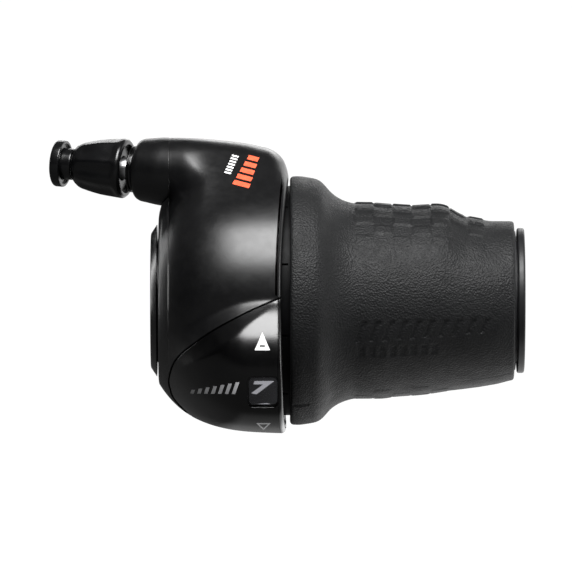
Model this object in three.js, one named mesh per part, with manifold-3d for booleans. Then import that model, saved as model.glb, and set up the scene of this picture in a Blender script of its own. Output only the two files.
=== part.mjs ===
// Twist-grip gear shifter for the right-hand end of a 22.2 mm bicycle handlebar.
// Millimetres. +X runs outboard along the handlebar, -Y faces the rider, +Z is up.
// The origin is on the handlebar axis, in the plane of the shifter's inboard face.
// The shifter rests in its last gear, with the twist grip at one end of its travel.
import * as THREE from 'three';
import { mergeVertices } from 'three/addons/utils/BufferGeometryUtils.js';
import Module from 'manifold-3d';

const wasm = await Module();
wasm.setup();

const GAP = 0.3;                 // clearance between neighbouring pieces
const FINE = 36;                 // facets round the large turned pieces
const COARSE = 18;               // facets round the small turned pieces

// Handlebar tube and the grip's running surfaces
const BORE_R = 11.25;
const SLEEVE_R = 12.4;
const RUNNING_R = SLEEVE_R + GAP;
const SLEEVE_END_X = 76.0;

// Housing skin
const SKIN_START_X = 1.6;
const SKIN_R = 26.5;             // radius that the domed skin tends to
const DOME_DROP = 12.7;          // how far the dome's radius falls by the inboard face
const DOME_LENGTH = 6.0;
const RIM_X = 26.6;              // outboard rim at the front, and its extra reach above and below
const RIM_REACH = 1.0;
const WALL = 2.0;
const WALL_INNER_X = SKIN_START_X + WALL;
const POD = { front: 13.3, up: -13.0, r: 18.5 };        // circle that the indicator pod's face tends to
const POD_FLOOR = { front: 8.0, up: 52.9, r: 80.0 };    // and the one that its underside tends to
const POD_BLEND = 1.5;
const POD_CORNER = 3.0;
const POD_FADE = [0, 20];        // where along X the pod grows out of the dome
const STRIP = { slope: 0.4, level: -7.67, width: 2.75, spread: 0.022, spreadX: 19 };  // ramp up to the pod
const HOUSING_BORE_R = 12.9;
const HUMP_SIDES = 22;
const FAR = 40;                  // beyond the housing, for the ends of cutting shapes
const CAP = { inner: 11.6, face: 13.6, lip: 15.6, lipX: 1.3, body: 12.6, end: 3.0 };
const SKIN_MIDDLE = [2.8, 4.6, 7.4, 10.5, 14.0, 18.0, 22.3];
const SKIN_STATIONS = [SKIN_START_X, ...SKIN_MIDDLE, RIM_X];
const INSET_STATIONS = [0, ...SKIN_MIDDLE, FAR];

// Indicator panel and window, seen from the front as X and Z
const PANEL_THICKNESS = 1.0;
const PANEL_EDGE = [[30, 2.0], [26.6, 0.5], [19.9, -2.4], [13.2, -6.0], [8.4, -9.3], [5.3, -12.2],
  [4.0, -15.7], [4.2, -17.9], [5.3, -20.4], [9.6, -24.8]];
const PANEL_FOOT_X = 10.6;       // where the panel's lower edge leaves the front view
const PANEL_BACK_Y = -1.0;
const LENS_INSET = 0.1;
const WINDOW = { x: 22.95, z: -18.35, size: 5.9, corner: 0.8, thickness: 0.9 };

// Clamp that grips the handlebar
const COLLAR_R = 13.2;
const COLLAR_START_X = 3.9;
const BAND = { x: 9.2, width: 5.2, inner: COLLAR_R + GAP, thickness: 1.0 };
const EAR = { inner: 1.4, outer: 4.4, reach: 19.4 };
const BOLT = { y: 16.9, r: 1.9, head: 3.0, headHeight: 2.4, tip: 8.6, hex: 1.5, hexDepth: 1.6 };
const BOLT_ACCESS = { r: 3.5, top: -7.4 };
const NUT = { r: 3.1, height: 2.4 };
const SLIT = { width: 1.2, end: 10.6 };
const WEB_X = 12.8;
const WEB_THICKNESS = 1.4;
const WEB_R = 22.4;

// Screws that hold the housing to the bracket
const HOUSING_SCREW = { radius: 18.6, angles: [60, -60], headX: 4.8, headHeight: 1.4, tipX: 15.6,
  head: 2.0, r: 1.1, boss: 3.0 };
const SCREW_SLOT_DEPTH = 0.6;

// Indexing parts
const GEARS = 7;
const GEAR_STEP = THREE.MathUtils.degToRad(20);
const DETENT = { y: 19.6, bore: 1.75, wall: 0.55, mouthX: 18.8, backX: 15.8, shoulderX: 19.0,
  tipX: 20.3, r: 1.45, notch: 1.6, notchDepth: 0.8 };
const SPRING = { inner: 0.8, outer: 1.4, start: 14.5, end: 14.95 };
const DRUM = { x: 14.6, width: 5.5, r: 16.9, groove: 15.2, grooveWidth: 2.2, nipple: 2.0 };
const INDEX_RING = { x: 20.6, thickness: 2.2, r: 21.6 };
const NUMBER_RING = { x: 19.0, end: 26.0, r: 23.5, wall: 1.5, webX: 24.2 };

// Twist grip
const CORE_START_X = 20.4;
const CORE_HUB_R = 14.4;
const FLANGE = { x: 26.4, end: 30.3, r: 23.4 };
const CORE_WAIST = { x: 38.0, r: 18.0 };
const CORE_END_X = 73.7;
const RUBBER_START_X = 28.35;
const RUBBER_END_X = 74.0;
const RUBBER_PROFILE = [[28.35, 24.5], [29.1, 25.4], [32.5, 25.1], [35.2, 23.9], [37.4, 21.6],
  [41.4, 20.1], [47.5, 20.0], [55, 19.2], [62, 18.3], [73.2, 16.3], [74.0, 15.4]];
const WASHER = { start: 74.02, end: 74.3, r: 14.2 };
const THUMB_PAD = { start: 47, end: 62, height: 0.7 };
const END_RING = { x: 74.6, end: 76.1, r: 14.8 };

// Cable outlet and barrel adjuster, on one slanted axis
const OUTLET_POINT = new THREE.Vector3(-3.8, 3.5, 26.85);
const OUTLET_DIRECTION = new THREE.Vector3(-0.948, 0.308, 0.078).normalize();
const OUTLET_TURN = new THREE.Quaternion().setFromUnitVectors(new THREE.Vector3(0, 1, 0), OUTLET_DIRECTION);
const BOSS = { seamX: 3.7, back: -16, front: -1.3, bore: 3.4, root: 7.0 };
const INSERT = { start: -6.6, end: -2.1 };
const COLLAR = { r: 4.4, lip: 4.75, lipStart: -0.4 };
const KNOB = { start: 1.1, end: 12.3, large: 6.1, small: 4.75, flutes: 6, fluteDepth: 0.4, recess: 5.0,
  recessDepth: 1.0 };
const ADJUSTER_BOLT = { start: -5.8, end: 12.0, r: 2.25, bore: 1.2 };
const CASING_STOP = { start: 12.6, seat: 13.2, disc: 14.6, end: 16.6, bore: 1.0, neck: 3.2,
  socket: 2.2, r: 4.75, rim: 0.6, recess: 0.5 };

// Rear cover over the cable port
const PORT = { x: 19.6, width: 10.8, height: 14.0, corner: 1.5, thickness: 0.9 };
const PORT_OPENING = { start: 19.2, end: 23.8, half: 4.0 };
const COVER_SCREW = { x: 16.6, z: 5.2, headY: 24.9, headHeight: 0.8, length: 3.2, head: 1.5, r: 0.8,
  boss: 2.1, innerY: 21.4 };

// ---- solids ---------------------------------------------------------------------------------

function toSolid(geometry) {
  const plain = geometry.clone();
  plain.deleteAttribute('normal');
  plain.deleteAttribute('uv');
  const merged = mergeVertices(plain, 1e-4);
  const mesh = new wasm.Mesh({
    numProp: 3,
    vertProperties: new Float32Array(merged.attributes.position.array),
    triVerts: new Uint32Array(merged.index.array),
  });
  mesh.merge();
  return new wasm.Manifold(mesh);
}

function toGeometry(solid) {
  const mesh = solid.getMesh();
  const geometry = new THREE.BufferGeometry();
  geometry.setAttribute('position', new THREE.BufferAttribute(mesh.vertProperties, 3));
  geometry.setIndex(new THREE.BufferAttribute(mesh.triVerts, 1));
  geometry.computeVertexNormals();
  return geometry;
}

// A closed [radius, height] profile turned about Y, listed outer side first going up.
function turned(profile, facets = COARSE) {
  const points = [...profile, profile[0]].map(([r, y]) => new THREE.Vector2(r, y));
  return new THREE.LatheGeometry(points, facets);
}

// The same about the handlebar's axis, from [radius, x] pairs.
function turnedOnBar(profile, facets = FINE) {
  return turned(profile, facets).rotateZ(-Math.PI / 2);
}

function ringProfile(inner, outer, start, end) {
  return [[inner, start], [outer, start], [outer, end], [inner, end]];
}

// The faces between neighbouring rings of points.
function sleeveFaces(rings, facets) {
  const index = [];
  for (let ring = 0; ring < rings - 1; ring++) {
    for (let i = 0; i < facets; i++) {
      const here = ring * facets + i;
      const next = ring * facets + ((i + 1) % facets);
      index.push(here, next, next + facets);
      index.push(here, next + facets, here + facets);
    }
  }
  return index;
}

// A closed skin about Y: radiusAt and heightAt give each station's ring, front and up being the
// two parts of the unit direction, which the turn onto the bar brings to -Y and +Z.
function wrapped(stations, heightAt, radiusAt, facets) {
  const positions = [];
  const index = [];
  for (const station of stations) {
    for (let i = 0; i < facets; i++) {
      const angle = (2 * Math.PI * i) / facets;
      const front = Math.sin(angle);
      const up = Math.cos(angle);
      const height = heightAt(station, front, up);
      const radius = radiusAt(height, front, up);
      positions.push(radius * front, height, radius * up);
    }
  }
  index.push(...sleeveFaces(stations.length, facets));
  const last = (stations.length - 1) * facets;
  const ends = [[stations[0], 0, false], [stations[stations.length - 1], last, true]];
  for (const [station, first, outward] of ends) {
    const centre = positions.length / 3;
    positions.push(0, heightAt(station, 1, 0), 0);
    for (let i = 0; i < facets; i++) {
      const here = first + i;
      const next = first + ((i + 1) % facets);
      index.push(centre, outward ? here : next, outward ? next : here);
    }
  }
  const geometry = new THREE.BufferGeometry();
  geometry.setAttribute('position', new THREE.Float32BufferAttribute(positions, 3));
  geometry.setIndex(index);
  geometry.computeVertexNormals();
  return geometry;
}

function onOutletAxis(geometry) {
  return geometry.applyQuaternion(OUTLET_TURN).translate(...OUTLET_POINT);
}

function cylinder(radius, length, facets = COARSE) {
  return new THREE.CylinderGeometry(radius, radius, length, facets);
}

function rodAlongX(radius, start, end, y, z, facets = COARSE) {
  return cylinder(radius, end - start, facets).rotateZ(-Math.PI / 2).translate((start + end) / 2, y, z);
}

function rodAlongY(radius, start, end, x, z, facets = COARSE) {
  return cylinder(radius, end - start, facets).translate(x, (start + end) / 2, z);
}

function rodAlongZ(radius, start, end, x, y, facets = COARSE) {
  return cylinder(radius, end - start, facets).rotateX(Math.PI / 2).translate(x, y, (start + end) / 2);
}

function block(xs, ys, zs) {
  const box = new THREE.BoxGeometry(xs[1] - xs[0], ys[1] - ys[0], zs[1] - zs[0]);
  return box.translate((xs[0] + xs[1]) / 2, (ys[0] + ys[1]) / 2, (zs[0] + zs[1]) / 2);
}

// A prism whose outline is drawn in X and Z, running from one Y to another.
function frontPrism(outline, nearY, farY) {
  const shape = new THREE.Shape(outline.map(([x, z]) => new THREE.Vector2(x, z)));
  const prism = new THREE.ExtrudeGeometry(shape, { depth: farY - nearY, bevelEnabled: false });
  return prism.rotateX(Math.PI / 2).translate(0, farY, 0);
}

function roundedOutline(x, z, width, height, corner) {
  const shape = new THREE.Shape();
  const halfW = width / 2 - corner;
  const halfH = height / 2 - corner;
  shape.absarc(x + halfW, z + halfH, corner, 0, Math.PI / 2);
  shape.absarc(x - halfW, z + halfH, corner, Math.PI / 2, Math.PI);
  shape.absarc(x - halfW, z - halfH, corner, Math.PI, 1.5 * Math.PI);
  shape.absarc(x + halfW, z - halfH, corner, 1.5 * Math.PI, 2 * Math.PI);
  return shape.getPoints(3).map((point) => [point.x, point.y]);
}

function material(color, roughness, metalness = 0) {
  return new THREE.MeshStandardMaterial({ color, roughness, metalness });
}

const SATIN_BLACK = [0x1b1c1e, 0.38];
const GLOSS_BLACK = [0x0c0d0f, 0.12];
const RUBBER_GREY = [0x33353a, 0.85];
const STEEL = [0xa9abae, 0.35, 1];
const BRASS = [0xb08d4a, 0.4, 1];
const NYLON = [0x2c2e31, 0.6];

function piece(name, geometry, finish) {
  const mesh = new THREE.Mesh(geometry, material(...finish));
  mesh.name = name;
  return mesh;
}

// ---- housing --------------------------------------------------------------------------------

function skinRadius(x) {
  return SKIN_R - DOME_DROP * Math.exp(-x / DOME_LENGTH);
}

function rounderMax(a, b, blend) {
  const overlap = Math.max(blend - Math.abs(a - b), 0) / blend;
  return Math.max(a, b) + (overlap * overlap * blend) / 4;
}

// How far from the bar's axis a ray meets a circle that holds the axis.
function circleReach(front, up, circle, grown, radius) {
  const along = grown * (circle.front * front + circle.up * up);
  const across = grown * (circle.front * up - circle.up * front);
  const size = radius + grown * (circle.r - SKIN_R);
  return along + Math.sqrt(Math.max(size * size - across * across, 0));
}

// How much of the pod's rise the skin has: none above the strip's crease, and all of it from the
// panel's edge down.
function podShare(x, height) {
  const inboard = Math.max(STRIP.spreadX - x, 0);
  const width = STRIP.width + STRIP.spread * inboard * inboard;
  return THREE.MathUtils.clamp((STRIP.slope * x + STRIP.level - height) / width, 0, 1);
}

// The skin is round, with a pod standing out at the lower front for the indicator.
function sectionRadius(x, front, up, inset) {
  const radius = skinRadius(x) - inset;
  const grown = THREE.MathUtils.smoothstep(x, ...POD_FADE);
  const face = circleReach(front, up, POD, grown, radius);
  const floor = circleReach(front, up, POD_FLOOR, grown, radius);
  const pod = -rounderMax(-face, -floor, POD_CORNER);
  return radius + podShare(x, radius * up) * (rounderMax(radius, pod, POD_BLEND) - radius);
}

function rimX(front, up) {
  return RIM_X + RIM_REACH * up * up;
}

function housingSkin(inset, stations = SKIN_STATIONS) {
  const heightAt = (station, front, up) => (station === RIM_X ? rimX(front, up) : station);
  const radiusAt = (x, front, up) => sectionRadius(x, front, up, inset);
  return toSolid(wrapped(stations, heightAt, radiusAt, FINE).rotateZ(-Math.PI / 2));
}

function outletAxisAt(x) {
  const travel = (x - OUTLET_POINT.x) / OUTLET_DIRECTION.x;
  return OUTLET_POINT.clone().addScaledVector(OUTLET_DIRECTION, travel);
}

// The hump over the bar that carries the cable from the drum to the outlet.
function cableHump() {
  const start = outletAxisAt(BOSS.seamX);
  const sections = [
    { at: start, wide: BOSS.root / Math.abs(OUTLET_DIRECTION.x), high: BOSS.root },
    { at: new THREE.Vector3(8.5, 1.8, 25.2), wide: 8.3, high: 7.9 },
    { at: new THREE.Vector3(14, 2.6, 23.6), wide: 9.8, high: 8.9 },
    { at: new THREE.Vector3(20, 3.0, 22.2), wide: 11.2, high: 9.6 },
    { at: new THREE.Vector3(24.4, 3.0, 21.6), wide: 11.6, high: 9.5 },
    { at: new THREE.Vector3(26.6, 3.0, 21.4), wide: 11.0, high: 8.5 },
    { at: new THREE.Vector3(27.6, 3.0, 21.3), wide: 10.0, high: 7.2 },
    { at: new THREE.Vector3(28.0, 3.0, 21.2), wide: 8.6, high: 5.6 },
  ];
  const positions = [];
  const index = [];
  for (const { at, wide, high } of sections) {
    for (let i = 0; i < HUMP_SIDES; i++) {
      const angle = (2 * Math.PI * i) / HUMP_SIDES;
      positions.push(at.x, at.y + wide * Math.cos(angle), at.z + high * Math.sin(angle));
    }
  }
  index.push(...sleeveFaces(sections.length, HUMP_SIDES));
  const last = (sections.length - 1) * HUMP_SIDES;
  for (let i = 1; i < HUMP_SIDES - 1; i++) {
    index.push(0, i + 1, i);
    index.push(last, last + i, last + i + 1);
  }
  const geometry = new THREE.BufferGeometry();
  geometry.setAttribute('position', new THREE.Float32BufferAttribute(positions, 3));
  geometry.setIndex(index);
  return toSolid(geometry);
}

// Room for the outlet boss where the dome would run into it.
function bossSeat() {
  const seat = cylinder(BOSS.root + GAP, -BOSS.back, 22).translate(0, BOSS.back / 2, 0);
  const inboard = block([-FAR, BOSS.seamX], [-FAR, FAR], [0, FAR]);
  return toSolid(onOutletAxis(seat)).intersect(toSolid(inboard));
}

function cableChannel() {
  const path = new THREE.CatmullRomCurve3([
    outletAxisAt(BOSS.seamX - 1),
    new THREE.Vector3(9, -1.0, 25.0),
    new THREE.Vector3(14.5, -4.5, 21.0),
  ]);
  const circle = new THREE.Shape().absarc(0, 0, 1.5, 0, 2 * Math.PI);
  return toSolid(new THREE.ExtrudeGeometry(circle, {
    extrudePath: path, steps: 5, curveSegments: 5, bevelEnabled: false,
  }));
}

function panelOutline(grow) {
  const edge = new THREE.SplineCurve(PANEL_EDGE.map(([x, z]) => new THREE.Vector2(x, z)));
  const points = edge.getPoints(18);
  const outline = points.map((point, i) => {
    const ahead = edge.getTangent(i / (points.length - 1));
    return [point.x + grow * ahead.y, point.y - grow * ahead.x];
  });
  return [...outline, [PANEL_FOOT_X - grow, -FAR], [30, -FAR]].reverse();
}

function panelPrism(grow) {
  return toSolid(frontPrism(panelOutline(grow), -FAR, PANEL_BACK_Y + grow));
}

function windowPrism(grow) {
  const side = WINDOW.size + 2 * grow;
  const outline = roundedOutline(WINDOW.x, WINDOW.z, side, side, WINDOW.corner + grow);
  return toSolid(frontPrism(outline, -FAR, -12));
}

function portPrism(grow) {
  const width = PORT.width + 2 * grow;
  const height = PORT.height + 2 * grow;
  const outline = roundedOutline(PORT.x, 0, width, height, PORT.corner + grow);
  return toSolid(frontPrism(outline, 12, FAR));
}

function housingScrewPlaces() {
  return HOUSING_SCREW.angles.map((degrees) => {
    const angle = THREE.MathUtils.degToRad(degrees);
    return { y: HOUSING_SCREW.radius * Math.cos(angle), z: HOUSING_SCREW.radius * Math.sin(angle) };
  });
}

function mainHousing() {
  const outside = housingSkin(0).add(cableHump());
  let housing = outside.subtract(housingSkin(WALL, [WALL_INNER_X, ...SKIN_MIDDLE.slice(1), FAR]));
  for (const { y, z } of housingScrewPlaces()) {
    const { boss, head, r, headX, headHeight } = HOUSING_SCREW;
    const seatX = headX + headHeight + 0.2;
    const post = toSolid(rodAlongX(boss, SKIN_START_X, WEB_X - GAP, y, z, 16)).intersect(outside);
    housing = housing.add(post);
    housing = housing.subtract(toSolid(rodAlongX(head + GAP, -2, seatX, y, z, 16)));
    housing = housing.subtract(toSolid(rodAlongX(r + GAP, headX, WEB_X + 1, y, z, 16)));
  }
  const coverScrew = COVER_SCREW;
  for (const z of [-coverScrew.z, coverScrew.z]) {
    const post = toSolid(rodAlongY(coverScrew.boss, coverScrew.innerY, FAR, coverScrew.x, z, 16));
    housing = housing.add(post.intersect(outside));
  }
  const barHole = toSolid(rodAlongX(HOUSING_BORE_R, -2, WALL_INNER_X + 1, 0, 0, FINE));
  const boltAccess = toSolid(rodAlongZ(BOLT_ACCESS.r, -FAR, BOLT_ACCESS.top, BAND.x, BOLT.y, 20));
  housing = housing.subtract(barHole).subtract(boltAccess).subtract(cableChannel()).subtract(bossSeat());
  housing = housing.subtract(panelPrism(GAP).subtract(housingSkin(PANEL_THICKNESS + GAP, INSET_STATIONS)));
  housing = housing.subtract(portPrism(GAP).subtract(housingSkin(PORT.thickness + GAP, INSET_STATIONS)));
  housing = housing.subtract(windowPrism(-0.4));
  const { start, end, half } = PORT_OPENING;
  housing = housing.subtract(toSolid(block([start, end], [15, FAR], [-half, half])));
  const seatY = coverScrew.headY - coverScrew.headHeight - GAP;
  for (const z of [-coverScrew.z, coverScrew.z]) {
    housing = housing.subtract(toSolid(rodAlongY(coverScrew.head + GAP, seatY, FAR, coverScrew.x, z, 16)));
    housing = housing.subtract(toSolid(rodAlongY(coverScrew.r + GAP, 18, FAR, coverScrew.x, z, 12)));
  }
  return piece('main_housing', toGeometry(housing), SATIN_BLACK);
}

function indicatorPanel() {
  const skin = housingSkin(0).subtract(housingSkin(PANEL_THICKNESS, INSET_STATIONS));
  const panel = skin.intersect(panelPrism(0)).subtract(windowPrism(GAP));
  return piece('indicator_panel', toGeometry(panel), GLOSS_BLACK);
}

function windowLens() {
  const skin = housingSkin(LENS_INSET).subtract(housingSkin(LENS_INSET + WINDOW.thickness, INSET_STATIONS));
  return piece('window_lens', toGeometry(skin.intersect(windowPrism(0))), [0x505358, 0.08]);
}

function cablePortCover() {
  const skin = housingSkin(0).subtract(housingSkin(PORT.thickness, INSET_STATIONS));
  let cover = skin.intersect(portPrism(0));
  for (const z of [-COVER_SCREW.z, COVER_SCREW.z]) {
    cover = cover.subtract(toSolid(rodAlongY(COVER_SCREW.head + GAP, 18, FAR, COVER_SCREW.x, z, 16)));
  }
  return piece('cable_port_cover', toGeometry(cover), SATIN_BLACK);
}

function screwGeometry(head, headHeight, shank, length, facets = 16) {
  const shoulder = length - headHeight;
  const profile = [[0, 0], [shank, 0], [shank, shoulder], [head, shoulder], [head, length], [0, length]];
  const points = profile.map(([r, y]) => new THREE.Vector2(r, y));
  const wide = head * 0.7;
  const narrow = Math.max(head * 0.125, 0.175);
  const depth = [length - SCREW_SLOT_DEPTH, length + 1];
  const blank = toSolid(new THREE.LatheGeometry(points, facets));
  const across = toSolid(block([-wide, wide], depth, [-narrow, narrow]));
  const down = toSolid(block([-narrow, narrow], depth, [-wide, wide]));
  return toGeometry(blank.subtract(across).subtract(down));
}

function housingScrews() {
  const { head, headHeight, r, headX, tipX } = HOUSING_SCREW;
  return housingScrewPlaces().map(({ y, z }, i) => {
    const geometry = screwGeometry(head, headHeight, r, tipX - headX);
    const screw = piece(`housing_screw_${i + 1}`, geometry, STEEL);
    screw.rotation.z = Math.PI / 2;
    screw.position.set(tipX, y, z);
    return screw;
  });
}

function coverScrews() {
  return [-COVER_SCREW.z, COVER_SCREW.z].map((z, i) => {
    const { x, headY, headHeight, length, head, r } = COVER_SCREW;
    const screw = piece(`cover_screw_${i + 1}`, screwGeometry(head, headHeight, r, length), STEEL);
    screw.position.set(x, headY - length, z);
    return screw;
  });
}

function inboardCap() {
  const { inner, face, lip, lipX, body, end } = CAP;
  const profile = [[inner, 0], [face, 0], [lip, lipX], [body, lipX], [body, end], [inner, end]];
  return piece('inboard_cap', turnedOnBar(profile), GLOSS_BLACK);
}

// ---- bracket and clamp ----------------------------------------------------------------------

function mountingBracket() {
  const webEnd = WEB_X + WEB_THICKNESS;
  const profile = [[BORE_R, COLLAR_START_X], [COLLAR_R, COLLAR_START_X], [COLLAR_R, WEB_X], [WEB_R, WEB_X],
    [WEB_R, webEnd], [BORE_R, webEnd]];
  let bracket = toSolid(turnedOnBar(profile));
  const holder = rodAlongX(DETENT.bore + DETENT.wall, WEB_X + 0.4, DETENT.mouthX, DETENT.y, 0, 16);
  bracket = bracket.add(toSolid(holder));
  bracket = bracket.subtract(toSolid(rodAlongX(DETENT.bore, webEnd, DETENT.mouthX + 1, DETENT.y, 0, 16)));
  const slit = [-SLIT.width / 2, SLIT.width / 2];
  bracket = bracket.subtract(toSolid(block([0, SLIT.end], [-FAR, FAR], slit)));
  bracket = bracket.subtract(toSolid(block([0, SLIT.end], slit, [-FAR, FAR])));
  for (const { y, z } of housingScrewPlaces()) {
    bracket = bracket.subtract(toSolid(rodAlongX(HOUSING_SCREW.r + GAP, WEB_X - 1, webEnd + 1, y, z, 12)));
  }
  return piece('mounting_bracket', toGeometry(bracket), NYLON);
}

function barSleeve() {
  const start = WEB_X + WEB_THICKNESS + GAP;
  return piece('bar_sleeve', turnedOnBar(ringProfile(BORE_R, SLEEVE_R, start, SLEEVE_END_X)), NYLON);
}

function clampBand() {
  const left = BAND.x - BAND.width / 2;
  const right = BAND.x + BAND.width / 2;
  const outer = BAND.inner + BAND.thickness;
  let band = toSolid(turnedOnBar(ringProfile(BAND.inner, outer, left, right)));
  band = band.add(toSolid(block([left, right], [13.7, EAR.reach], [-EAR.outer, EAR.outer])));
  band = band.subtract(toSolid(block([left - 1, right + 1], [10, EAR.reach + 1], [-EAR.inner, EAR.inner])));
  band = band.subtract(toSolid(rodAlongZ(BOLT.r + GAP, -6, 6, BAND.x, BOLT.y, 16)));
  band = band.subtract(toSolid(rodAlongX(BAND.inner, left - 1, right + 1, 0, 0, FINE)));
  return piece('clamp_band', toGeometry(band), STEEL);
}

function clampBolt() {
  const top = -EAR.outer - GAP;
  const bottom = top - BOLT.headHeight;
  let bolt = toSolid(rodAlongZ(BOLT.r, top - 0.5, BOLT.tip, BAND.x, BOLT.y, 16));
  bolt = bolt.add(toSolid(rodAlongZ(BOLT.head, bottom, top, BAND.x, BOLT.y)));
  bolt = bolt.subtract(toSolid(rodAlongZ(BOLT.hex, bottom - 1, bottom + BOLT.hexDepth, BAND.x, BOLT.y, 6)));
  return piece('clamp_bolt', toGeometry(bolt), STEEL);
}

function clampNut() {
  const start = EAR.outer + GAP;
  const end = start + NUT.height;
  let nut = toSolid(rodAlongZ(NUT.r, start, end, BAND.x, BOLT.y, 6));
  nut = nut.subtract(toSolid(rodAlongZ(BOLT.r + GAP, start - 1, end + 1, BAND.x, BOLT.y, 16)));
  return piece('clamp_nut', toGeometry(nut), STEEL);
}

function endRing() {
  const profile = ringProfile(RUNNING_R, END_RING.r, END_RING.x, END_RING.end);
  return piece('end_ring', turnedOnBar(profile), GLOSS_BLACK);
}

function thrustWasher() {
  const profile = ringProfile(RUNNING_R, WASHER.r, WASHER.start, WASHER.end);
  return piece('thrust_washer', turnedOnBar(profile), NYLON);
}

// ---- indexing -------------------------------------------------------------------------------

function detentPlunger() {
  const { r, backX, shoulderX, tipX } = DETENT;
  const profile = [[0, backX], [r, backX], [r, shoulderX], [0.83 * r, shoulderX + 0.7],
    [0.5 * r, tipX - 0.15], [0, tipX]];
  const points = profile.map((point) => new THREE.Vector2(...point));
  const geometry = new THREE.LatheGeometry(points, 16).rotateZ(-Math.PI / 2);
  const plunger = piece('detent_plunger', geometry, STEEL);
  plunger.position.y = DETENT.y;
  return plunger;
}

function detentSpring() {
  const profile = ringProfile(SPRING.inner, SPRING.outer, SPRING.start, SPRING.end);
  const spring = piece('detent_spring', turnedOnBar(profile, 16), STEEL);
  spring.position.y = DETENT.y;
  return spring;
}

function indexRing() {
  const end = INDEX_RING.x + INDEX_RING.thickness;
  let ring = toSolid(turnedOnBar(ringProfile(CORE_HUB_R + GAP, INDEX_RING.r, INDEX_RING.x, end)));
  for (let gear = 0; gear < GEARS; gear++) {
    const angle = gear * GEAR_STEP;
    const y = DETENT.y * Math.cos(angle);
    const z = DETENT.y * Math.sin(angle);
    const floorX = INDEX_RING.x + DETENT.notchDepth;
    ring = ring.subtract(toSolid(rodAlongX(DETENT.notch, INDEX_RING.x - 1, floorX, y, z, 12)));
  }
  return piece('index_ring', toGeometry(ring), NYLON);
}

function numberRing() {
  const inner = NUMBER_RING.r - NUMBER_RING.wall;
  const profile = [[inner, NUMBER_RING.x], [NUMBER_RING.r, NUMBER_RING.x], [NUMBER_RING.r, NUMBER_RING.end],
    [CORE_HUB_R + GAP, NUMBER_RING.end], [CORE_HUB_R + GAP, NUMBER_RING.webX], [inner, NUMBER_RING.webX]];
  return piece('number_ring', turnedOnBar(profile), [0x3d4044, 0.5]);
}

function cableDrum() {
  const { x, width, r, groove, grooveWidth, nipple } = DRUM;
  const end = x + width;
  const middle = (x + end) / 2;
  const half = grooveWidth / 2;
  const profile = [[RUNNING_R, x], [r, x], [r, middle - half], [groove, middle - half / 2],
    [groove, middle + half / 2], [r, middle + half], [r, end], [RUNNING_R, end]];
  let drum = toSolid(turnedOnBar(profile));
  drum = drum.subtract(toSolid(rodAlongX(nipple, x - 1, end - 1.4, 0, -groove, 12)));
  return piece('cable_drum', toGeometry(drum), NYLON);
}

// ---- twist grip -----------------------------------------------------------------------------

function gripCore() {
  const profile = [[RUNNING_R, CORE_START_X], [CORE_HUB_R, CORE_START_X], [CORE_HUB_R, FLANGE.x],
    [FLANGE.r, FLANGE.x], [FLANGE.r, FLANGE.end], [CORE_WAIST.r, CORE_WAIST.x], [CORE_HUB_R, CORE_END_X],
    [RUNNING_R, CORE_END_X]];
  return piece('grip_core', turnedOnBar(profile), NYLON);
}

function gripRubber() {
  const padRise = (x) => THREE.MathUtils.smoothstep(x, THUMB_PAD.start, THUMB_PAD.start + 8)
    * (1 - THREE.MathUtils.smoothstep(x, THUMB_PAD.end - 2, THUMB_PAD.end + 1.5));
  const profileAt = new Map(RUBBER_PROFILE);
  const radiusAt = (x, front, up) => profileAt.get(x) + THUMB_PAD.height * padRise(x) * Math.max(up, 0);
  const stations = RUBBER_PROFILE.map(([x]) => x);
  const outside = toSolid(wrapped(stations, (x) => x, radiusAt, FINE).rotateZ(-Math.PI / 2));
  const start = RUBBER_START_X - 1;
  const end = RUBBER_END_X + 1;
  const inside = [[0, start], [FLANGE.r + GAP, start], [FLANGE.r + GAP, FLANGE.end + 0.2],
    [CORE_WAIST.r + GAP, CORE_WAIST.x + 0.2], [CORE_HUB_R + GAP, end], [0, end]];
  const points = inside.map(([r, x]) => new THREE.Vector2(r, x));
  const hollow = toSolid(new THREE.LatheGeometry(points, FINE).rotateZ(-Math.PI / 2));
  return piece('grip_rubber', toGeometry(outside.subtract(hollow)), RUBBER_GREY);
}

// ---- cable outlet and barrel adjuster: turned about the slanted outlet axis -----------------

// The boss meets the housing in the plane where the hump starts, so it is placed on the outlet axis
// before it is cut.
function outletBoss() {
  const { bore, back, front, root } = BOSS;
  const profile = [[bore, back], [root, back], [root, front - 4.6], [root - 0.6, front - 1.3],
    [root - 1.1, front - 0.3], [root - 1.8, front], [bore, front]];
  const outboard = block([BOSS.seamX - GAP, FAR], [-FAR, FAR], [0, FAR]);
  const boss = toSolid(onOutletAxis(turned(profile, 22))).subtract(toSolid(outboard));
  return piece('cable_outlet_boss', toGeometry(boss), SATIN_BLACK);
}

function adjusterInsert() {
  const profile = ringProfile(ADJUSTER_BOLT.r + GAP, BOSS.bore - GAP, INSERT.start, INSERT.end);
  return piece('adjuster_insert', turned(profile), BRASS);
}

function adjusterCollar() {
  const inner = ADJUSTER_BOLT.r + GAP;
  const start = BOSS.front + GAP;
  const { r, lip, lipStart } = COLLAR;
  const profile = [[inner, start], [r, start], [r, lipStart], [lip, lipStart], [lip, 0], [inner, 0]];
  return piece('adjuster_collar', turned(profile), GLOSS_BLACK);
}

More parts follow.
